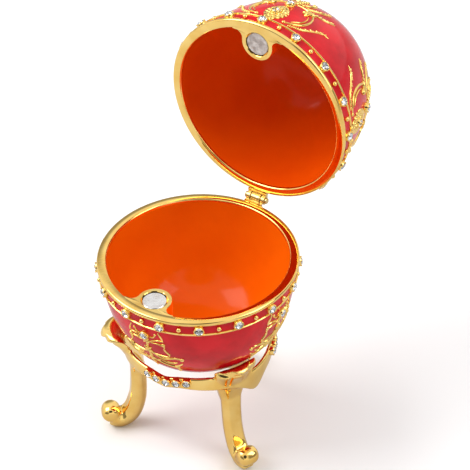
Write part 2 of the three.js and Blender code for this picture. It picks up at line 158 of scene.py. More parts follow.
room = 1.0
for dark_place in DARK_PLACES:
    room = dimmed(room, *dark_place)
onlooker = sky.nodes.new("ShaderNodeLightPath").outputs["Is Camera Ray"]
backdrop = add_node(sky, "ShaderNodeMix", {"Factor": onlooker, "A": room, "B": 0.95})
sky.links.new(backdrop.outputs["Result"], sky.nodes["Background"].inputs["Strength"])
sky.nodes["Background"].inputs["Color"].default_value = (1, 1, 1, 1)
bpy.context.scene.world = world
bpy.context.scene.view_settings.view_transform = 'Standard'

# ---- Bowl ---------------------------------------------------------------------------
# Lower half of the egg: a thin zinc casting, gold plated, with a flat polished rim, a plain
# red-enamelled band under a moulding, a raised wire, and red enamel over the egg's belly.
BOWL = {"outer": (26.9, 30.0), "inner": (24.9, 27.8), "belly": 1.8, "square": 3.8, "side": -1, "body": "base"}
RIM = [(24.92, 1.0), (24.95, 0.5), (25.1, 0.25), (25.3, 0.15), (27.15, 0.15), (27.35, 0.25), (27.55, 0.5),
       (27.6, 0.8), (27.55, 1.1), (27.3, 1.35), (27.0, 1.55)]                 # radius, depth
BAND = [(26.95, 1.7), (26.95, 2.9)]
RAISED_WIRE = [(26.95, 4.25), (27.15, 4.3), (27.3, 4.42), (27.33, 4.58), (27.26, 4.74), (27.1, 4.84)]
BELLY_START, LINING_START = 4.9, 1.2
SIDES, ROWS = 160, 44
NO_RADIUS = 1e-6


def egg_radius(half, depth, face="outer"):
    """Radius of half the egg at a depth from the parting plane, on its outer or inner face."""
    radius, height = half[face]
    return radius * max(1 - min(depth / height, 1) ** half["belly"], 0) ** (1 / half["square"])


def pole_steps(start, end):
    """Depths from start to end that crowd together towards the pole, where the curve is flat."""
    first = math.asin(start / end)
    return [end * math.sin(first + (math.pi / 2 - first) * (i + 1) / ROWS) for i in range(ROWS)]


def shell_profile(half):
    """Rows of [radius, depth, finish from here on], from the inside pole over the rim to the outside."""
    inside = [(egg_radius(half, d, "inner"), d) for d in reversed(pole_steps(LINING_START, half["inner"][1]))]
    outside = [(egg_radius(half, d), d) for d in [BELLY_START] + pole_steps(BELLY_START, half["outer"][1])]
    runs = ((inside, "lining"), (RIM, "gold"), (BAND, "red"), (RAISED_WIRE, "gold"), (outside, "red"))
    return [(radius, depth, finish) for run, finish in runs for radius, depth in run]


def ring(count, radius, phase=0.0):
    """Evenly spaced (x, y) round the origin, the first one a part of a step past +X."""
    turns = [2 * math.pi * (i + phase) / count for i in range(count)]
    return [(radius * math.cos(turn), radius * math.sin(turn)) for turn in turns]


def turned_rows(rows, sides):
    """(points, faces) of rows of [radius, height] turned about Z, closed where a radius is zero."""
    points, ids = [], []
    for radius, level in rows:
        if radius < NO_RADIUS:
            ids.append([len(points)] * sides)
            points.append(Vector((0, 0, level)))
        else:
            ids.append(list(range(len(points), len(points) + sides)))
            points += [Vector((x, y, level)) for x, y in ring(sides, radius)]
    faces = []
    for lower, upper in zip(ids, ids[1:]):
        for i in range(sides):
            j = (i + 1) % sides
            corners = [lower[i], lower[j], upper[j], upper[i]]
            faces.append([c for k, c in enumerate(corners) if c != corners[k - 1]])
    return points, faces


def cleaned(mesh, gap):
    """Points closer than the gap merged and every face turned outwards."""
    shape = bmesh.new()
    shape.from_mesh(mesh)
    bmesh.ops.remove_doubles(shape, verts=shape.verts, dist=gap)
    bmesh.ops.recalc_face_normals(shape, faces=shape.faces)
    shape.to_mesh(mesh)
    shape.free()


def enrolled(name, mesh, body, stands_for):
    """The mesh as a piece that rides on a body."""
    item = linked(name, mesh)
    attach(item, body)
    if stands_for:
        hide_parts(*stands_for)


EDGE_ANGLE = math.radians(40)        # edges sharper than this stay crisp


def add_piece(name, points, faces, place, materials, body, slot, stands_for=(), choices=None, crisp=True):
    """A finished mesh object from millimetre points, set in place, facing outwards, riding on a body."""
    mesh = bpy.data.meshes.new(name)
    mesh.from_pydata([tuple(place @ p) for p in points], [], faces)
    for material in materials:
        mesh.materials.append(material)
    if choices:
        mesh.polygons.foreach_set("material_index", choices)
    cleaned(mesh, 1e-7)
    mesh.shade_smooth()
    if crisp:
        mesh.set_sharp_from_angle(angle=EDGE_ANGLE)
    enrolled(name, mesh, body, stands_for)


def socket(group, name, way, kind, value=None):
    """An input or output of a node group, with its default value."""
    item = group.interface.new_socket(name, in_out=way, socket_type=kind)
    if value is not None:
        item.default_value = value


def cast_surface():
    """Node group that every finish shares: two-tone mottling, uneven polish and shallow pits."""
    group = bpy.data.node_groups.new("cast_surface", 'ShaderNodeTree')
    for name, value in (("Deep", (0.5, 0.1, 0.1, 1)), ("Bright", (0.6, 0.2, 0.2, 1))):
        socket(group, name, 'INPUT', 'NodeSocketColor', value)
    for name, value in (("Patch Scale", 120.0), ("Smoothest", 0.05), ("Roughest", 0.15), ("Pit Scale", 900.0),
                        ("Pit Depth", 0.1)):
        socket(group, name, 'INPUT', 'NodeSocketFloat', value)
    for name, kind in (("Color", 'Color'), ("Roughness", 'Float'), ("Normal", 'Vector')):
        socket(group, name, 'OUTPUT', 'NodeSocket' + kind)
    given = group.nodes.new("NodeGroupInput").outputs
    where = group.nodes.new("ShaderNodeTexCoord").outputs["Object"]
    patches = add_node(group, "ShaderNodeTexNoise", {"Vector": where, "Scale": given["Patch Scale"],
                                                     "Detail": 4})
    spread = add_node(group, "ShaderNodeMapRange", {"Value": patches.outputs["Fac"], "From Min": 0.35,
                                                    "From Max": 0.65}).outputs["Result"]
    blend = add_node(group, "ShaderNodeMix", {"Factor": spread, "A": given["Deep"], "B": given["Bright"]},
                     data_type='RGBA')
    polish = add_node(group, "ShaderNodeMapRange", {"Value": spread, "To Min": given["Roughest"],
                                                    "To Max": given["Smoothest"]})
    pits = add_node(group, "ShaderNodeTexNoise", {"Vector": where, "Scale": given["Pit Scale"], "Detail": 2})
    dent = add_node(group, "ShaderNodeBump", {"Distance": 0.0002, "Strength": given["Pit Depth"],
                                              "Height": pits.outputs["Fac"]})
    add_node(group, "NodeGroupOutput", {"Color": blend.outputs["Result"], "Normal": dent.outputs["Normal"],
                                        "Roughness": polish.outputs["Result"]})
    return group


CAST_SURFACE = cast_surface()


def finish(name, deep, bright, patch, polish, pits, metallic=0.0, specular=0.5):
    """Material from two colours, a patch scale, (smoothest, roughest) and the pits' (scale, depth)."""
    material, tree, inputs = new_material(name)
    surface = add_node(tree, "ShaderNodeGroup", {
        "Deep": (*deep, 1), "Bright": (*bright, 1), "Patch Scale": patch, "Smoothest": polish[0],
        "Roughest": polish[1], "Pit Scale": pits[0], "Pit Depth": pits[1]}, node_tree=CAST_SURFACE)
    for given, target in (("Color", "Base Color"), ("Roughness", "Roughness"), ("Normal", "Normal")):
        tree.links.new(surface.outputs[given], inputs[target])
    inputs["Metallic"].default_value = metallic
    inputs["Specular IOR Level"].default_value = specular
    return material


gold_plate = finish("gold_plate", (0.92, 0.58, 0.15), (1.0, 0.70, 0.23), 180, (0.04, 0.1), (650, 0.08),
                    metallic=1.0)
red_enamel = finish("red_enamel", (0.52, 0.003, 0.008), (0.78, 0.01, 0.018), 110, (0.06, 0.12),
                    (500, 0.04), specular=0.2)
orange_lining = finish("orange_lining", (0.80, 0.12, 0.001), (0.88, 0.15, 0.002), 45, (0.1, 0.16),
                       (400, 0.02), specular=0.13)
SHELL_FINISHES = ("gold", "red", "lining")


def add_shell(name, half, place, node, lining):
    """The profile turned about the egg's axis, each band of faces in its own finish."""
    profile = shell_profile(half)
    points, faces = turned_rows([(radius, half["side"] * depth) for radius, depth, _ in profile], SIDES)
    choices = [SHELL_FINISHES.index(kind) for _, _, kind in profile[:-1] for _ in range(SIDES)]
    add_piece(name, points, faces, place, [gold_plate, red_enamel, lining], half["body"], "red_enamel",
              stands_for=[node], choices=choices)


add_shell("bowl_shell", BOWL, egg_place(), "bowl", orange_lining)

# ---- Lid ----------------------------------------------------------------------------
# Upper half of the egg, the same casting but taller, hinged behind and leaning open. It is
# laid out as if shut and then turned back about the hinge pin.
LID = {"outer": (26.9, 34.6), "inner": (24.9, 32.4), "belly": 1.75, "square": 3.2, "side": 1, "body": "lid"}
# The lid's lining is the same orange enamel as the bowl's, its colours painted darker: painted shade for the
# dimmer light inside the lid.
painted_shade_lining = finish("painted_shade_lining", (0.74, 0.066, 0.001), (0.82, 0.088, 0.001), 45, (0.12, 0.18), (400, 0.02),
                     specular=0.1)
hinge_joint = frame["record"]["behaviour"]["joints"][0]
hinge_point = Matrix.Translation(Vector(hinge_joint["pos_m"]))
lid_lean = Matrix.Rotation(-math.radians(hinge_joint["range_deg"][1]), 4, 'X')


def lid_place():
    """Carries millimetres about the shut egg's middle to the open lid in the frame."""
    return hinge_point @ lid_lean @ hinge_point.inverted() @ egg_place()


add_shell("lid_shell", LID, lid_place(), "lid", painted_shade_lining)

# ---- Catch bosses and magnets -------------------------------------------------------
# A round boss grows from the inside of each rim on a flared neck and is milled flush with it.
# A steel-cased magnet disc is glued into its blind hole, just below the face.
BOSS = {"reach": 21.0, "radius": 4.8, "fillet": 2.4, "depth": 6.2, "hole": 3.55, "recess": 2.4,
        "chamfer": 0.16, "mouth": 1.05, "rim": 25.1, "end": 25.7}
MAGNET = {"radius": 3.3, "thickness": 1.9, "sunk": 0.22, "round": 0.15}
MAGNET_SIDES = 64


def skin(loops):
    """(points, faces) of a skin over equal loops, capped at both ends."""
    count = len(loops[0])
    points = [p for loop in loops for p in loop]
    faces = [[r + i, r + (i + 1) % count, r + count + (i + 1) % count, r + count + i]
             for r in range(0, len(points) - count, count) for i in range(count)]
    faces += [list(range(count)), list(range(len(points) - count, len(points)))]
    return points, faces


def arc(x, y, radius, start, end, steps):
    """(x, y) along an arc from one angle to another, both ends included."""
    turns = [start + (end - start) * i / steps for i in range(steps + 1)]
    return [(x + radius * math.cos(turn), y + radius * math.sin(turn)) for turn in turns]


def boss_outline(steps=22):
    """Half round the boss, down a fillet into the rim and along it, then the mirror image back."""
    fillet, radius, reach, away = BOSS["fillet"], BOSS["radius"], BOSS["reach"], BOSS["rim"] - BOSS["fillet"]
    drop = ((radius + fillet) ** 2 - away ** 2 - reach ** 2) / (2 * reach)
    across = math.sqrt(away ** 2 - drop ** 2)
    leave, land = math.atan2(drop + reach, across), math.atan2(drop, across)
    spots = arc(0, -reach, radius, math.pi / 2, leave, steps)
    spots += arc(across, drop, fillet, leave + math.pi, land + 2 * math.pi, steps // 2)[1:]
    spots += arc(0, 0, BOSS["end"], math.atan2(spots[-1][1], spots[-1][0]), -math.pi / 2, steps // 2)[1:]
    return [(-x, y) for x, y in spots[:-1]] + spots[:0:-1]


def boss_mesh(side):
    """The boss with a chamfered edge and a blind hole that has a chamfered mouth."""
    outline, reach = boss_outline(), BOSS["reach"]
    count, draw = len(outline), BOSS["chamfer"] / BOSS["radius"]
    hole = ring(count, BOSS["hole"], count / 4)
    lip = [(x - x * draw, y - (y + reach) * draw) for x, y in outline]
    mouth = [(BOSS["mouth"] * x, BOSS["mouth"] * y - reach) for x, y in hole]
    hole = [(x, y - reach) for x, y in hole]
    rows = [(outline, BOSS["depth"]), (outline, 0.22), (lip, 0.02), (mouth, 0.02), (hole, 0.2),
            (hole, BOSS["recess"])]
    return skin([[Vector((x, y, side * (HALF_GAP + depth))) for x, y in row] for row, depth in rows])


def magnet_mesh(side):
    """Disc with its front edge rounded off."""
    radius, top = MAGNET["radius"], HALF_GAP + MAGNET["sunk"]
    rows = [(radius, top + MAGNET["thickness"]), (radius, top + MAGNET["round"]),
            (radius - MAGNET["round"], top), (radius * 0.5, top)]
    return skin([[Vector((x, y - BOSS["reach"], side * depth)) for x, y in ring(MAGNET_SIDES, reach)]
                 for reach, depth in rows])


bright_steel = finish("bright_steel", (0.84, 0.80, 0.77), (0.97, 0.95, 0.93), 400, (0.16, 0.28), (1500, 0.12),
                      metallic=1.0)
dull_steel = finish("dull_steel", (0.42, 0.37, 0.34), (0.74, 0.70, 0.67), 700, (0.3, 0.5), (1600, 0.5),
                    metallic=0.6)
for owner, half, place, steel, steel_slot in (("bowl", BOWL, egg_place(), bright_steel, "bright_magnet"),
                                              ("lid", LID, lid_place(), dull_steel, "dull_magnet")):
    add_piece(owner + "_catch_boss", *boss_mesh(half["side"]), place, [gold_plate], half["body"],
              "gold_plate")
    add_piece(owner + "_magnet_disc", *magnet_mesh(half["side"]), place, [steel], half["body"], steel_slot,
              stands_for=[owner + "_magnet"])

# ---- Band stones --------------------------------------------------------------------
# Round brilliant crystals, foil backed, each pressed into a turned gold bezel with four small
# claws; a gold bead sits between every two. Sixteen go round each half, offset by half a step.
STONES_ROUND = 16
BAND_RADIUS = 26.95
STONE_DEPTH = 2.85
BEZEL = {"foot": 1.5, "lip": 1.42, "bore": 1.2, "height": 1.0, "claw": 0.24, "claws": 1.22}
CRYSTAL = {"radius": 1.2, "table": 0.66, "crown": 0.42, "girdle": 0.12, "pavilion": 0.75, "seat": 0.82,
           "tip": 0.14}


def new_tree(name, sockets):
    tree = bpy.data.node_groups.new(name, 'GeometryNodeTree')
    for entry, way, kind, *value in sockets:
        socket(tree, entry, way, 'NodeSocket' + kind, *value)
    return tree, tree.nodes.new("NodeGroupInput").outputs


def set_items(tree, given, seating):
    """The given item on every seat, made real and given its finish."""
    item = add_node(tree, "GeometryNodeObjectInfo", {"As Instance": True, "Object": given["Item"]})
    setting = add_node(tree, "GeometryNodeInstanceOnPoints", {**seating,
                                                              "Instance": item.outputs["Geometry"]})
    real = add_node(tree, "GeometryNodeRealizeInstances", {"Geometry": setting.outputs["Instances"]})
    coat = add_node(tree, "GeometryNodeSetMaterial", {"Geometry": real.outputs["Geometry"],
                                                      "Material": given["Finish"]})
    add_node(tree, "NodeGroupOutput", {"Geometry": coat.outputs["Geometry"]})
    return tree


def ring_tree():
    """Geometry Nodes: an item repeated evenly round the egg's axis, facing outwards."""
    tree, given = new_tree("set_round_the_band", (
        ("Geometry", 'OUTPUT', 'Geometry'), ("Item", 'INPUT', 'Object'), ("Count", 'INPUT', 'Int', 16),
        ("Ring Radius", 'INPUT', 'Float', 0.027), ("Level", 'INPUT', 'Float', 0.0),
        ("First Angle", 'INPUT', 'Float', 0.0), ("Finish", 'INPUT', 'Material')))

    def worked_out(operation, *values):
        return add_node(tree, "ShaderNodeMath", dict(enumerate(values)), operation=operation).outputs[0]

    line = add_node(tree, "GeometryNodeMeshLine", {"Count": given["Count"]})
    index = tree.nodes.new("GeometryNodeInputIndex").outputs[0]
    step = worked_out('DIVIDE', 2 * math.pi, given["Count"])
    turn = worked_out('ADD', worked_out('MULTIPLY', index, step), given["First Angle"])
    along, aside = (worked_out('MULTIPLY', worked_out(way, turn), given["Ring Radius"])
                    for way in ('COSINE', 'SINE'))
    spot = add_node(tree, "ShaderNodeCombineXYZ", {0: along, 1: aside, 2: given["Level"]})
    move = add_node(tree, "GeometryNodeSetPosition", {"Geometry": line.outputs["Mesh"],
                                                      "Position": spot.outputs[0]})
    facing = add_node(tree, "ShaderNodeCombineXYZ", {1: math.pi / 2, 2: turn})
    return set_items(tree, given, {"Points": move.outputs["Geometry"], "Rotation": facing.outputs[0]})


RING_TREE = ring_tree()


def pattern(name, points, faces, crisp):
    """An unlinked mesh object that a tree repeats, in metres about its own middle, +Z outwards."""
    mesh = bpy.data.meshes.new(name)
    mesh.from_pydata([tuple(p * MM) for p in points], [], faces)
    cleaned(mesh, 1e-8)
    if not crisp:
        mesh.shade_smooth()
        mesh.set_sharp_from_angle(angle=EDGE_ANGLE)
    return bpy.data.objects.new(name, mesh)


def grown(name, tree, values, place, body, stands_for=(), carrier=None):
    """The tree's result as a plain mesh, set in place and riding on a body."""
    holder = linked(name + "_holder", carrier or bpy.data.meshes.new(name + "_holder"))
    modifier = holder.modifiers.new("grow", 'NODES')
    modifier.node_group = tree
    for entry in tree.interface.items_tree:
        if entry.in_out == 'INPUT' and entry.name in values:
            modifier[entry.identifier] = values[entry.name]
    mesh = bpy.data.meshes.new_from_object(holder.evaluated_get(bpy.context.evaluated_depsgraph_get()))
    mesh.name = name
    bpy.data.objects.remove(holder)
    mesh.transform(place @ Matrix.Scale(1 / MM, 4))
    enrolled(name, mesh, body, stands_for)


def ball_rows(radius, middle, count):
    """Rows of [radius, height] of a ball."""
    return [(radius * math.sin(math.pi * i / count), middle - radius * math.cos(math.pi * i / count))
            for i in range(count + 1)]


def gathered(parts):
    """One (points, faces) from many."""
    points, faces = [], []
    for some_points, some_faces in parts:
        faces += [[c + len(points) for c in face] for face in some_faces]
        points += some_points
    return points, faces


def bezel_mesh():
    """Collar with a rolled lip and four claws over the stone's edge."""
    foot, lip, bore, height = (BEZEL[k] for k in ("foot", "lip", "bore", "height"))
    parts = [turned_rows([(0, -0.3), (foot, -0.3), (foot, 0.3), (lip + 0.04, 0.55), (lip, height - 0.1),
                          (lip - 0.08, height), (bore + 0.04, height), (bore, height - 0.06), (bore, 0.15),
                          (0, 0.12)], 28)]
    for x, y in ring(4, BEZEL["claws"], 0.5):
        points, faces = turned_rows(ball_rows(BEZEL["claw"], 0, 6), 10)
        move = Matrix.Translation((x, y, height + 0.02)) @ Matrix.Diagonal((1, 1, 0.9, 1))
        parts.append(([move @ p for p in points], faces))
    return gathered(parts)


def brilliant_mesh():
    """Eight-sided table, star and kite facets, thin girdle and a pointed pavilion."""
    radius, table, crown, girdle, pavilion, seat, tip_level = CRYSTAL.values()
    top = seat + girdle
    rows = [(8, table, top + crown, 0), (8, radius * 0.82, top + crown * 0.5, 0.5), (16, radius, top, 0),
            (16, radius, seat, 0), (8, radius * 0.5, seat - pavilion * 0.5, 0.5)]
    points = [Vector((x, y, level)) for count, reach, level, phase in rows
              for x, y in ring(count, reach, phase)]
    points.append(Vector((0, 0, tip_level)))
    t, m, g, b, q, tip = 0, 8, 16, 32, 48, 56        # where each row starts
    faces = [list(range(8))]
    for i in range(8):
        j, near, mid, far = (i + 1) % 8, 2 * i, 2 * i + 1, (2 * i + 2) % 16
        faces += [[t + i, m + i, t + j], [m + i, g + near, g + mid], [m + i, g + mid, g + far],
                  [t + j, m + i, g + far], [t + j, g + far, m + j], [b + near, b + mid, q + i],
                  [b + mid, b + far, q + i], [b + far, q + j, q + i], [q + i, q + j, tip]]
    faces += [[g + i, b + i, b + (i + 1) % 16, g + (i + 1) % 16] for i in range(16)]
    return points, faces


clear_crystal, glass, glass_inputs = new_material("clear_crystal")      # lead glass, faintly hazed
glass_inputs["Transmission Weight"].default_value = 1.0
glass_inputs["IOR"].default_value = 1.62
facets = glass.nodes.new("ShaderNodeTexCoord").outputs["Object"]
haze = add_node(glass, "ShaderNodeTexNoise", {"Vector": facets, "Scale": 900}).outputs["Fac"]
dulled = add_node(glass, "ShaderNodeMapRange", {"Value": haze, "To Min": 0.0, "To Max": 0.04})
tint = add_node(glass, "ShaderNodeMix", {"Factor": haze, "A": (0.93, 0.95, 0.98, 1), "B": (1, 1, 1, 1)},
                data_type='RGBA')
glass.links.new(dulled.outputs["Result"], glass_inputs["Roughness"])
glass.links.new(tint.outputs["Result"], glass_inputs["Base Color"])
silver_foil = finish("silver_foil", (0.45, 0.47, 0.5), (0.9, 0.91, 0.93), 2500, (0.05, 0.3), (3000, 0.3),
                     metallic=1.0)
bezel_pattern = pattern("bezel_pattern", *bezel_mesh(), crisp=False)
crystal_pattern = pattern("crystal_pattern", *brilliant_mesh(), crisp=True)
FOIL_ROWS = [(0, 0.1), (1.12, 0.5), (1.16, 0.72), (1.18, 0.62), (0, 0.05)]
foil_pattern = pattern("foil_pattern", *turned_rows(FOIL_ROWS, 16), crisp=True)
bead_pattern = pattern("bead_pattern", *turned_rows(ball_rows(0.68, 0.3, 12), 20), crisp=False)
SET_STONE = ((bezel_pattern, gold_plate, "bezels", "gold_plate"),
             (foil_pattern, silver_foil, "foils", "bright_magnet"),
             (crystal_pattern, clear_crystal, "crystals", "crystal"))
HALF_STEP = 180 / STONES_ROUND
for owner, half, place, first in (("bowl", BOWL, egg_place(), 270 + HALF_STEP),
                                  ("lid", LID, lid_place(), 270)):
    stones = [f"{owner}_band_stone_{i + 1}" for i in range(STONES_ROUND)]
    for item, material, part, slot in (*SET_STONE, (bead_pattern, gold_plate, "beads", "gold_plate")):
        values = {"Item": item, "Count": STONES_ROUND, "Ring Radius": BAND_RADIUS * MM,
                  "Level": half["side"] * STONE_DEPTH * MM, "Finish": material,
                  "First Angle": math.radians(first + (HALF_STEP if part == "beads" else 0))}
        grown(f"{owner}_band_{part}", RING_TREE, values, place, half["body"],
              stands_for=stones if part == "crystals" else ())

# ---- Scrolls on the bowl ------------------------------------------------------------
# Soldered gold wire scrolls, laid flat on the enamel four times round the bowl: a stone in
# four petals over a budded stem, with a lobed leaf, a tendril and a foot leaf on each side.
MOTIF_AZIMUTHS = (270, 0, 90, 180)
WIRE_TIP = 0.55                      # thickness of a wire's ends against its middle


def on_egg(half, azimuth, across, depth):
    """(point, outward direction) on the egg, across millimetres round from an azimuth."""
    radius = egg_radius(half, depth)
    turn = math.radians(azimuth) + across / radius
    slope = (egg_radius(half, depth + 0.05) - egg_radius(half, depth - 0.05)) / 0.1
    lean = math.hypot(1, slope)
    c, s = math.cos(turn), math.sin(turn)
    return (Vector((radius * c, radius * s, half["side"] * depth)),
            Vector((c / lean, s / lean, -half["side"] * slope / lean)))


def smooth_path(path, per_span):
    """Catmull-Rom points through a list of equal tuples."""
    ends = [[2 * a - b for a, b in zip(path[0], path[1])]] + [list(p) for p in path]
    ends.append([2 * a - b for a, b in zip(path[-1], path[-2])])
    result = []
    for i in range(1, len(ends) - 2):
        for k in range(per_span + (i == len(ends) - 3)):
            t = k / per_span
            result.append([0.5 * (2 * b + (c - a) * t + (2 * a - 5 * b + 4 * c - d) * t * t
                                  + (3 * b - a - 3 * c + d) * t ** 3)
                           for a, b, c, d in zip(*ends[i - 1:i + 3])])
    return result


def wire_on_egg(half, azimuth, path, width, height, side=1):
    """Half-round wire along [across, depth] points on the egg, thinner towards its ends."""
    placed = [on_egg(half, azimuth, a, d) for a, d in smooth_path([(side * a, d) for a, d in path], 6)]
    loops = []
    for i, (point, outward) in enumerate(placed):
        ahead = placed[min(i + 1, len(placed) - 1)][0] - placed[max(i - 1, 0)][0]
        sideways = outward.cross(ahead).normalized()
        swell = WIRE_TIP + (1 - WIRE_TIP) * math.sin(math.pi * i / (len(placed) - 1)) ** 0.6
        loops.append([point + sideways * (math.cos(math.pi * k / 6) * width * swell / 2)
                      + outward * (math.sin(math.pi * k / 6) * height * swell - 0.05) for k in range(7)]
                     + [point - outward * 0.3])
    return skin(loops)


def lay_of_egg(half, azimuth, across, depth):
    """(point, outward direction, downhill direction) on the egg."""
    point, outward = on_egg(half, azimuth, across, depth)
    return point, outward, (on_egg(half, azimuth, across, depth + 0.2)[0] - point).normalized()


def squashed_ball(middle, along, outward, size, sides):
    """A ball squashed to a size, its length along a direction."""
    turn = Matrix((outward.cross(along), along, outward)).transposed().to_4x4()
    shape = Matrix.Translation(middle) @ turn @ Matrix.Diagonal((*size, 1))
    points, faces = turned_rows(ball_rows(1.0, 0, 8), sides)
    return [shape @ p for p in points], faces


def bud_on_egg(half, azimuth, across, depth, radius, length=1.0, height=0.9):
    """Low round or long bud on the egg, its length running down the egg."""
    point, outward, down = lay_of_egg(half, azimuth, across, depth)
    return squashed_ball(point, down, outward, (radius, radius * length, radius * height), 12)


def petal_on_egg(half, azimuth, across, depth, turn, length, width, height=0.55):
    """Long low petal on the egg from (across, depth), pointing along turn: 0 across, a quarter down."""
    point, outward, down = lay_of_egg(half, azimuth, across, depth)
    along = (down.cross(outward) * -math.cos(turn) + down * math.sin(turn)).normalized()
    return squashed_ball(point + along * length * 0.42, along, outward, (width / 2, length / 2, height), 10)


def sprig(half, azimuth, side, path, pairs, size):
    """Saw-edged twig: a thin wire with short leaves set alternately to either side of it."""
    parts = [wire_on_egg(half, azimuth, path, 0.45, 0.4, side=side)]
    spots = smooth_path([(side * a, d) for a, d in path], 8)
    for pair in range(pairs):
        k = int((pair + 0.5) / pairs * (len(spots) - 2))
        (a, d), (a_next, d_next) = spots[k], spots[k + 1]
        along = math.atan2(d_next - d, a_next - a)
        for lean in (0.75, -0.75):
            parts.append(petal_on_egg(half, azimuth, a, d, along + lean, size, size * 0.5, 0.45))
    return parts


BOWL_SCROLLS = [
    ([(1.5, 10.3), (2.7, 9.6), (3.9, 9.2), (5.1, 9.3)], 0.5),
    ([(5.3, 9.4), (5.2, 8.4), (4.8, 7.3), (4.2, 6.0)], 0.5),
    ([(0.4, 10.5), (1.8, 10.9), (3.6, 10.7), (5.3, 11.3), (5.1, 12.6), (5.8, 13.9), (6.2, 14.8), (5.3, 15.9),
      (2.3, 16.0), (0.3, 15.9)], 0.48),
    ([(0.2, 15.0), (2.1, 16.4), (3.6, 17.0), (4.9, 17.0), (6.1, 16.4), (8.0, 16.0), (9.0, 16.3)], 0.72),
    ([(0.3, 18.4), (2.2, 19.6), (4.2, 20.3), (5.9, 20.7), (6.9, 21.5), (6.8, 22.6)], 0.55),
    ([(5.9, 20.7), (7.4, 19.9), (9.0, 18.4)], 0.5),
    ([(1.5, 8.6), (2.6, 8.3), (3.2, 7.4)], 0.5),
    ([(2.6, 18.0), (4.6, 18.7), (6.6, 18.6), (7.6, 18.0)], 0.5),
]
BOWL_BUDS = [(5.2, 10.6, 0.6, 1.0), (9.3, 16.3, 0.62, 1.0), (6.7, 22.8, 0.5, 1.0), (3.3, 7.1, 0.42, 1.0),
             (2.0, 19.0, 0.4, 1.2)]         # across, depth, radius, length
STEM_STARS = [(10.6, 1.5, 0.75), (14.4, 1.7, 0.8)]      # depth, length and width of four petals
STEM_BUDS = [(12.6, 0.4, 1.8), (17.2, 0.5, 1.6), (19.2, 0.6, 1.4), (21.2, 0.48, 1.5), (22.8, 0.4, 1.2)]


def bowl_scrolls():
    parts = []
    for azimuth in MOTIF_AZIMUTHS:
        parts.append(wire_on_egg(BOWL, azimuth, [(0, 9.0), (0, 14.0), (0, 19.0), (0, 23.2)], 0.6, 0.45))
        parts += [bud_on_egg(BOWL, azimuth, 0, depth, radius, length) for depth, radius, length in STEM_BUDS]
        for depth, length, width in STEM_STARS:
            parts += [petal_on_egg(BOWL, azimuth, 0, depth, math.pi / 4 + math.pi / 2 * i, length, width)
                      for i in range(4)]
        for side in (1, -1):
            parts += [wire_on_egg(BOWL, azimuth, path, width, 0.45, side=side)
                      for path, width in BOWL_SCROLLS]
            parts += [bud_on_egg(BOWL, azimuth, side * a, d, r, length) for a, d, r, length in BOWL_BUDS]
    return gathered(parts)


add_piece("bowl_scrolls", *bowl_scrolls(), egg_place(), [gold_plate], "base", "gold_plate")

# ---- Scrolls on the lid -------------------------------------------------------------
# The same wirework, richer: a full daisy of three rings of petals round a stone, in a pair of C
# scrolls that close over a second stone, each with a leafy boss and saw-edged sprigs outside it.
LID_SCROLLS = [
    ([(4.6, 6.9), (6.4, 7.6), (8.3, 9.5), (8.9, 12.9), (7.8, 16.2), (6.1, 18.0), (3.9, 18.8), (1.2, 19.4)],
     0.75),
    ([(5.6, 8.2), (7.3, 10.0), (7.8, 12.8), (7.0, 15.2)], 0.45),
    ([(1.0, 20.6), (2.6, 21.4), (3.8, 23.4), (3.4, 25.4), (2.2, 25.6)], 0.6),
]
SPRIGS = [([(6.2, 5.9), (8.2, 6.8), (9.8, 7.9), (11.6, 10.3), (13.4, 12.4), (15.3, 13.1)], 9, 0.95),
          ([(6.4, 18.3), (8.6, 18.7), (10.6, 19.5), (12.2, 21.2)], 6, 0.9),
          ([(4.4, 19.4), (6.0, 20.8), (7.6, 22.8), (8.4, 25.2)], 6, 0.9)]
LID_BUDS = [(6.6, 4.9, 0.5), (2.4, 25.8, 0.5), (4.3, 6.7, 0.6), (2.0, 20.9, 0.45), (0.0, 26.6, 0.5)]
DAISY = {"depth": 10.0, "boss": 2.9, "rings": [(17, 3.2, 2.3, 1.3), (13, 2.3, 1.8, 1.1), (8, 1.3, 1.5, 0.95)]}
LEAF_BOSS = (6.3, 16.6, 2.2)         # across, depth, length of a leaf


def lid_scrolls():
    parts = []
    for azimuth in MOTIF_AZIMUTHS:
        parts.append(wire_on_egg(LID, azimuth, [(0, 13.6), (0, 16.0), (0, 20.0), (0, 26.4)], 0.6, 0.45))
        parts += [petal_on_egg(LID, azimuth, 0, 19.6 + 1.3 * i, math.pi / 2 + lean, 1.5, 0.7)
                  for i in range(5) for lean in (0.7, -0.7)]
        for side in (1, -1):
            parts += [wire_on_egg(LID, azimuth, path, width, 0.5, side=side) for path, width in LID_SCROLLS]
            parts += [bud_on_egg(LID, azimuth, side * a, d, r) for a, d, r in LID_BUDS]
            for path, pairs, size in SPRIGS:
                parts += sprig(LID, azimuth, side, path, pairs, size)
            across, depth, length = LEAF_BOSS
            parts += [petal_on_egg(LID, azimuth, side * across, depth, math.pi / 2 + side * (0.9 - 0.55 * i),
                                   length, 0.8, 0.65) for i in range(8)]
        parts.append(bud_on_egg(LID, azimuth, 0, DAISY["depth"], DAISY["boss"], 1.0, 0.07))
        for tier, (petals, start, length, width) in enumerate(DAISY["rings"]):
            for i, (x, y) in enumerate(ring(petals, start, 0.5 * tier)):
                turn = 2 * math.pi * (i + 0.5 * tier) / petals
                parts.append(petal_on_egg(LID, azimuth, x, DAISY["depth"] + y, turn, length, width,
                                          0.5 + 0.12 * tier))
    return gathered(parts)


add_piece("lid_scrolls", *lid_scrolls(), lid_place(), [gold_plate], "lid", "gold_plate")

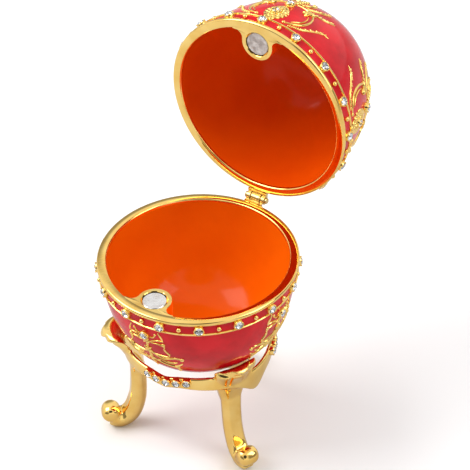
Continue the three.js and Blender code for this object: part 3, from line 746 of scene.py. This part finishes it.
# ---- Stones in the scrolls ----------------------------------------------------------
# The same crystals in the same bezels, one over each bowl motif and two in each lid motif.
def seat_tree():
    """Geometry Nodes: an item on every point of a carrier mesh, turned by the point's own turn."""
    tree, given = new_tree("set_on_seats", (
        ("Geometry", 'INPUT', 'Geometry'), ("Geometry", 'OUTPUT', 'Geometry'), ("Item", 'INPUT', 'Object'),
        ("Size", 'INPUT', 'Float', 1.0), ("Finish", 'INPUT', 'Material')))
    turn = add_node(tree, "GeometryNodeInputNamedAttribute", {"Name": "turn"}, data_type='FLOAT_VECTOR')
    return set_items(tree, given, {"Points": given["Geometry"], "Rotation": turn.outputs[0],
                                   "Scale": given["Size"]})


SEAT_TREE = seat_tree()


def seats(spots, lift):
    """Carrier mesh with one point for each (point, outward direction) in egg millimetres."""
    mesh = bpy.data.meshes.new("seats")
    mesh.from_pydata([tuple((point + outward * lift) * MM) for point, outward in spots], [], [])
    turns = mesh.attributes.new("turn", 'FLOAT_VECTOR', 'POINT')
    for entry, (_, outward) in zip(turns.data, spots):
        entry.vector = (0, math.acos(max(-1, min(1, outward.z))), math.atan2(outward.y, outward.x))
    return mesh


def set_stones(prefix, spots, lift, size, place, body, stands_for):
    """Bezels, foils and crystals on the spots, the crystals standing for the plain stones."""
    for item, material, part, slot in SET_STONE:
        grown(f"{prefix}_{part}", SEAT_TREE, {"Item": item, "Size": size, "Finish": material}, place, body,
              stands_for=stands_for if part == "crystals" else (),
              carrier=seats(spots, lift))


BOWL_STONE_DEPTH, LID_STONE_DEPTHS = 8.2, (9.6, 16.8)
bowl_seats = [on_egg(BOWL, azimuth, 0, BOWL_STONE_DEPTH) for azimuth in MOTIF_AZIMUTHS]
lid_seats = [on_egg(LID, azimuth, 0, depth) for azimuth in MOTIF_AZIMUTHS for depth in LID_STONE_DEPTHS]
set_stones("bowl_scroll", bowl_seats, 0.0, 0.95, egg_place(), "base",
           [f"bowl_motif_stone_{i + 1}" for i in range(4)])
set_stones("lid_scroll", lid_seats, 0.1, 0.95, lid_place(), "lid", [])

# ---- Hinge --------------------------------------------------------------------------
# Small three-knuckle butt hinge soldered behind the rims: a wide middle knuckle on the bowl,
# two narrow ones on the lid, and a riveted pin.
HINGE = {"y": 29.7, "barrel": 1.25, "middle": 2.9, "outer": 1.25, "play": 0.2, "bevel": 0.12, "rivet": 0.85,
         "rivet_ends": 1.2}


def barrel_mesh(middle, length, radius=HINGE["barrel"]):
    """Bevelled round bar along X on the pin's line."""
    half, bevel = length / 2, HINGE["bevel"]
    points, faces = turned_rows([(0, -half), (radius - bevel, -half), (radius, bevel - half),
                                 (radius, half - bevel), (radius - bevel, half), (0, half)], 36)
    turn = Matrix.Translation((middle, HINGE["y"], 0)) @ Matrix.Rotation(math.pi / 2, 4, 'Y')
    return [turn @ p for p in points], faces


def block_mesh(x, y, z):
    """Box between the two values given for each axis."""
    points = [Vector((a, b, c)) for a in x for b in y for c in z]
    return points, [[0, 1, 3, 2], [4, 6, 7, 5], [0, 4, 5, 1], [2, 3, 7, 6], [0, 2, 6, 4], [1, 5, 7, 3]]


centre = HINGE["middle"] / 2 + HINGE["play"] + HINGE["outer"] / 2
reach = centre + HINGE["outer"] / 2
PLATE_Y, STRAP_Y = (27.5, 28.4), (27.9, HINGE["y"])
bowl_parts = [block_mesh((-2.65, 2.65), PLATE_Y, (-2.2, -0.15)),
              block_mesh((-1.45, 1.45), STRAP_Y, (-1.15, -0.3)), barrel_mesh(0, HINGE["middle"])]
lid_parts = [block_mesh((-reach, reach), PLATE_Y, (0.15, 1.35))]
for middle in (-centre, centre):
    lid_parts += [barrel_mesh(middle, HINGE["outer"]),
                  block_mesh((middle - 0.62, middle + 0.62), STRAP_Y, (0.3, 1.15))]
rivet = barrel_mesh(0, 2 * reach + HINGE["rivet_ends"], HINGE["rivet"])
pale_brass = finish("pale_brass", (0.6, 0.42, 0.15), (0.78, 0.58, 0.26), 300, (0.2, 0.3), (900, 0.2),
                    metallic=1.0)
add_piece("hinge_middle", *gathered(bowl_parts), egg_place(), [pale_brass], "base", "gold_plate",
          stands_for=["bowl_hinge_leaf"])
add_piece("hinge_sides", *gathered(lid_parts), lid_place(), [pale_brass], "lid", "gold_plate",
          stands_for=["lid_hinge_leaf"])
add_piece("hinge_rivet", *rivet, egg_place(), [pale_brass], "base", "gold_plate", stands_for=["hinge_pin"])

# ---- Stand --------------------------------------------------------------------------
# One gold casting: three legs with bevelled fronts, rolled up to a barrel knob below and fanned
# out above into a three-lobed head, joined by festoons of five stones. The soles are flat.
STAND = {"across": -1.2, "ground": -59.6, "grain": 0.27, "fillet": 3, "gap": 0.12}
LEG_AZIMUTHS = (219.9, 333.1, 96.5)
SPANS = ((219.9, 333.1, 0.0, 2.8), (333.1, 456.5, 3.0, 0.0),
         (96.5, 219.9, 0.0, 0.0))           # from, to, sag, stones' turn
RING = {"inner": 19.5, "outer": 21.0, "stones": 5, "step": 7.8, "level": -28.7}
KNOB = {"reach": 25.86, "level": -54.52, "radius": 2.75, "half_width": 3.05, "square": 2.8}
LEG_EDGE = [(0.4, -1), (0.7, -0.75), (0.9, -0.35), (1, 0.1), (0.98, 0.4), (0.66, 0.97), (0.56, 1.0)]
LEG_SECTION = LEG_EDGE + [(-u, v) for u, v in reversed(LEG_EDGE)]
LEG_STATIONS = [(17.4, -38.0, 6.2, 4.2), (17.4, -44.0, 5.8, 4.5), (18.0, -49.8, 5.7, 4.7),
                (19.9, -55.0, 5.7, 5.0), (23.0, -57.3, 5.8, 5.2),
                (25.3, -56.3, 6.0, 5.3)]    # reach, level, width, thickness
HEAD_OUT = [(17.4, -40.6, 2.5, 3.5), (17.7, -35.6, 3.8, 4.2), (19.4, -30.6, 5.1, 3.8),
            (22.2, -26.4, 6.0, 3.3), (24.9, -24.6, 6.2, 2.8),
            (26.5, -25.9, 6.0, 1.8)]        # reach, level, half width, thickness
HEAD_UPRIGHT = [(17.4, -40.6, 2.5, 3.5), (17.7, -35.6, 3.8, 4.2), (19.1, -30.8, 5.2, 3.7),
                (20.6, -27.2, 6.0, 3.1), (22.0, -24.7, 6.3, 2.7), (23.3, -23.9, 6.1, 1.9)]
HEAD_BEND = (1.0, 0.5, 0.5)        # how far each leg's head is bent from upright to fully out
LOBES = {"notch": 0.42, "side": 0.7, "notch_drop": 0.17, "side_drop": 0.07, "edge_drop": 0.3, "power": 2.6,
         "start": 0.35, "crease": 0.5, "crease_width": 0.075, "crease_start": 0.2, "wrap": (0.03, 0.085)}
FESTOON = {"top": -26.9, "bottom": -30.8, "peak": 0.16, "bulge_at": -0.68}


def shank_mesh():
    """Loft of the leg's section along its stations."""
    spots = smooth_path(LEG_STATIONS, 8)
    centres = [Vector((0, reach, level)) for reach, level, _, _ in spots]
    loops = []
    for i, (_, _, width, thickness) in enumerate(spots):
        along = (centres[min(i + 1, len(centres) - 1)] - centres[max(i - 1, 0)]).normalized()
        outward = Vector((0, -along.z, along.y)).normalized()
        loops.append([centres[i] + Vector((u * width / 2, 0, 0)) + outward * (v * thickness / 2)
                      for u, v in LEG_SECTION])
    return skin(loops)


def knob_mesh():
    """Barrel lying across the foot, with full rounded ends."""
    square, leans = KNOB["square"], [-math.cos(math.pi * i / 20) for i in range(21)]
    rows = [(KNOB["radius"] * (1 - abs(lean) ** square) ** (1 / square), KNOB["half_width"] * lean)
            for lean in leans]
    points, faces = turned_rows(rows, 32)
    return [Vector((p.z, p.x + KNOB["reach"], p.y + KNOB["level"])) for p in points], faces


def lobed_rim(u):
    """How far short of the lip the three-lobed rim stops at u, from 0 in the middle to 1 at the edge."""
    notch, side, side_drop = LOBES["notch"], LOBES["side"], LOBES["side_drop"]
    if u < notch:
        return LOBES["notch_drop"] * (u / notch) ** LOBES["power"]
    end, part = ((LOBES["notch_drop"], (side - u) / (side - notch)) if u < side
                 else (LOBES["edge_drop"], (u - side) / (1 - side)))
    return side_drop + (end - side_drop) * part ** LOBES["power"]


def head_mesh(bend, rows=36, across=40):
    """The shank fans out into one plate that curls outwards, creased between its three lobes."""
    spine = smooth_path([[b + (a - b) * bend for a, b in zip(*pair)]
                         for pair in zip(HEAD_OUT, HEAD_UPRIGHT)], 8)
    least, most = LOBES["wrap"]

    def at(place):
        place = place * (len(spine) - 1)
        i = min(int(place), len(spine) - 2)
        return [a + (b - a) * (place - i) for a, b in zip(spine[i], spine[i + 1])]

    loops = []
    for row in range(rows + 1):
        rise = row / rows
        cut = max((rise - LOBES["start"]) / (1 - LOBES["start"]), 0)
        depth = LOBES["crease"] * max((rise - LOBES["crease_start"]) / (1 - LOBES["crease_start"]), 0)
        front, rear = [], []
        for k in range(across + 1):
            u = 1 - 2 * k / across
            place = rise * (1 - lobed_rim(abs(u)) * cut)
            reach, level, half_width, thickness = at(place)
            before, after = at(max(place - 0.03, 0)), at(min(place + 0.03, 1))
            dy, dz = after[0] - before[0], after[1] - before[1]
            crease = depth * math.exp(-(((abs(u) - LOBES["notch"]) / LOBES["crease_width"]) ** 2))
            plate = thickness * (1 - 0.6 * u ** 4) / 2
            wrap = (least + (most - least) * bend) * rise * (u * half_width) ** 2
            for face, off in ((front, plate - crease), (rear, -plate)):
                off /= math.hypot(dy, dz)
                face.append(Vector((u * half_width, reach - wrap + off * dz, level - off * dy)))
        loops.append(front + rear[::-1])
    return skin(loops)


def leg_mesh(azimuth, bend):
    """Shank, head and knob of one leg, turned to its place."""
    points, faces = gathered([shank_mesh(), head_mesh(bend), knob_mesh()])
    turn = Matrix.Translation((STAND["across"], 0, 0)) @ Matrix.Rotation(math.radians(azimuth - 90), 4, 'Z')
    return [turn @ p for p in points], faces


def festoon_edge(u, sag):
    """Upper and lower edge at u, from -1 to 1 along the span."""
    peak = FESTOON["peak"]
    middle, swell = math.exp(-((u / peak) ** 2)), math.cos(u * math.pi * 1.5)
    drop, bulge = sag * (1 - u ** 6), sag * math.exp(-(((u - FESTOON["bulge_at"]) / peak) ** 2))
    return (FESTOON["top"] - 0.9 * middle - 1.6 * u ** 4 - drop,
            FESTOON["bottom"] - 1.0 * middle + 0.45 * swell - 2.4 * u ** 4 - drop - bulge)


def festoon_mesh(start, end, sag, steps=72):
    """Rounded strip along the ring between two legs."""
    loops = []
    middle_r, half_r = (RING["inner"] + RING["outer"]) / 2, (RING["outer"] - RING["inner"]) / 2
    for i in range(steps + 1):
        angle = math.radians(start + (end - start) * i / steps)
        top, bottom = festoon_edge(2 * i / steps - 1, sag)
        loop = []
        for k in range(16):
            c, s = math.cos(math.pi * k / 8), math.sin(math.pi * k / 8)
            radius = middle_r + half_r * math.copysign(abs(c) ** 0.5, c)
            loop.append(Vector((STAND["across"] + radius * math.cos(angle), radius * math.sin(angle),
                                (top + bottom) / 2 + (top - bottom) / 2 * math.copysign(abs(s) ** 0.7, s))))
        loops.append(loop)
    return skin(loops)


def cast_in_one(parts):
    """The parts fused to one skin by voxels of the grain's size, its inner corners smoothed over."""
    points, faces = gathered(parts)
    mesh = bpy.data.meshes.new("mould")
    mesh.from_pydata([tuple(p) for p in points], [], faces)
    cleaned(mesh, 1e-4)
    mould = linked("mould", mesh)
    fusing = mould.modifiers.new("fuse", 'REMESH')
    fusing.mode, fusing.voxel_size = 'VOXEL', STAND["grain"]
    easing = mould.modifiers.new("ease", 'SMOOTH')
    easing.factor, easing.iterations = 0.5, STAND["fillet"]
    cast = bpy.data.meshes.new_from_object(mould.evaluated_get(bpy.context.evaluated_depsgraph_get()))
    points = [v.co.copy() for v in cast.vertices]
    faces = [list(p.vertices) for p in cast.polygons]
    bpy.data.objects.remove(mould)
    bpy.data.meshes.remove(cast)
    return points, faces


def clear_of_bowl(point):
    """The point, pushed out of the bowl if it lies inside its surface."""
    radius, depth = math.hypot(point.x, point.y), -point.z
    limit = egg_radius(BOWL, max(depth, 0)) + STAND["gap"]
    if depth < BOWL["outer"][1] and NO_RADIUS < radius < limit:
        return Vector((point.x * limit / radius, point.y * limit / radius, point.z))
    return point


stand_points, stand_faces = cast_in_one([leg_mesh(*leg) for leg in zip(LEG_AZIMUTHS, HEAD_BEND)]
                                        + [festoon_mesh(*span[:3]) for span in SPANS])
stand_points = [clear_of_bowl(Vector((p.x, p.y, max(p.z, STAND["ground"])))) for p in stand_points]
add_piece("stand_casting", stand_points, stand_faces, egg_place(), [gold_plate], "base", "gold_plate",
          stands_for=["stand"], crisp=False)

stand_seats = []
for start, end, sag, stones_turn in SPANS:
    for i in range(RING["stones"]):
        step = i - (RING["stones"] - 1) / 2
        turn = math.radians((start + end) / 2 + step * RING["step"] + stones_turn)
        outward = Vector((math.cos(turn), math.sin(turn), 0))
        level = RING["level"] + 0.35 * abs(step) - sag
        stand_seats.append((outward * RING["outer"] + Vector((STAND["across"], 0, level)), outward))
set_stones("stand", stand_seats, -0.1, 0.92, egg_place(), "base", [f"stand_stone_{i + 1}" for i in range(15)])
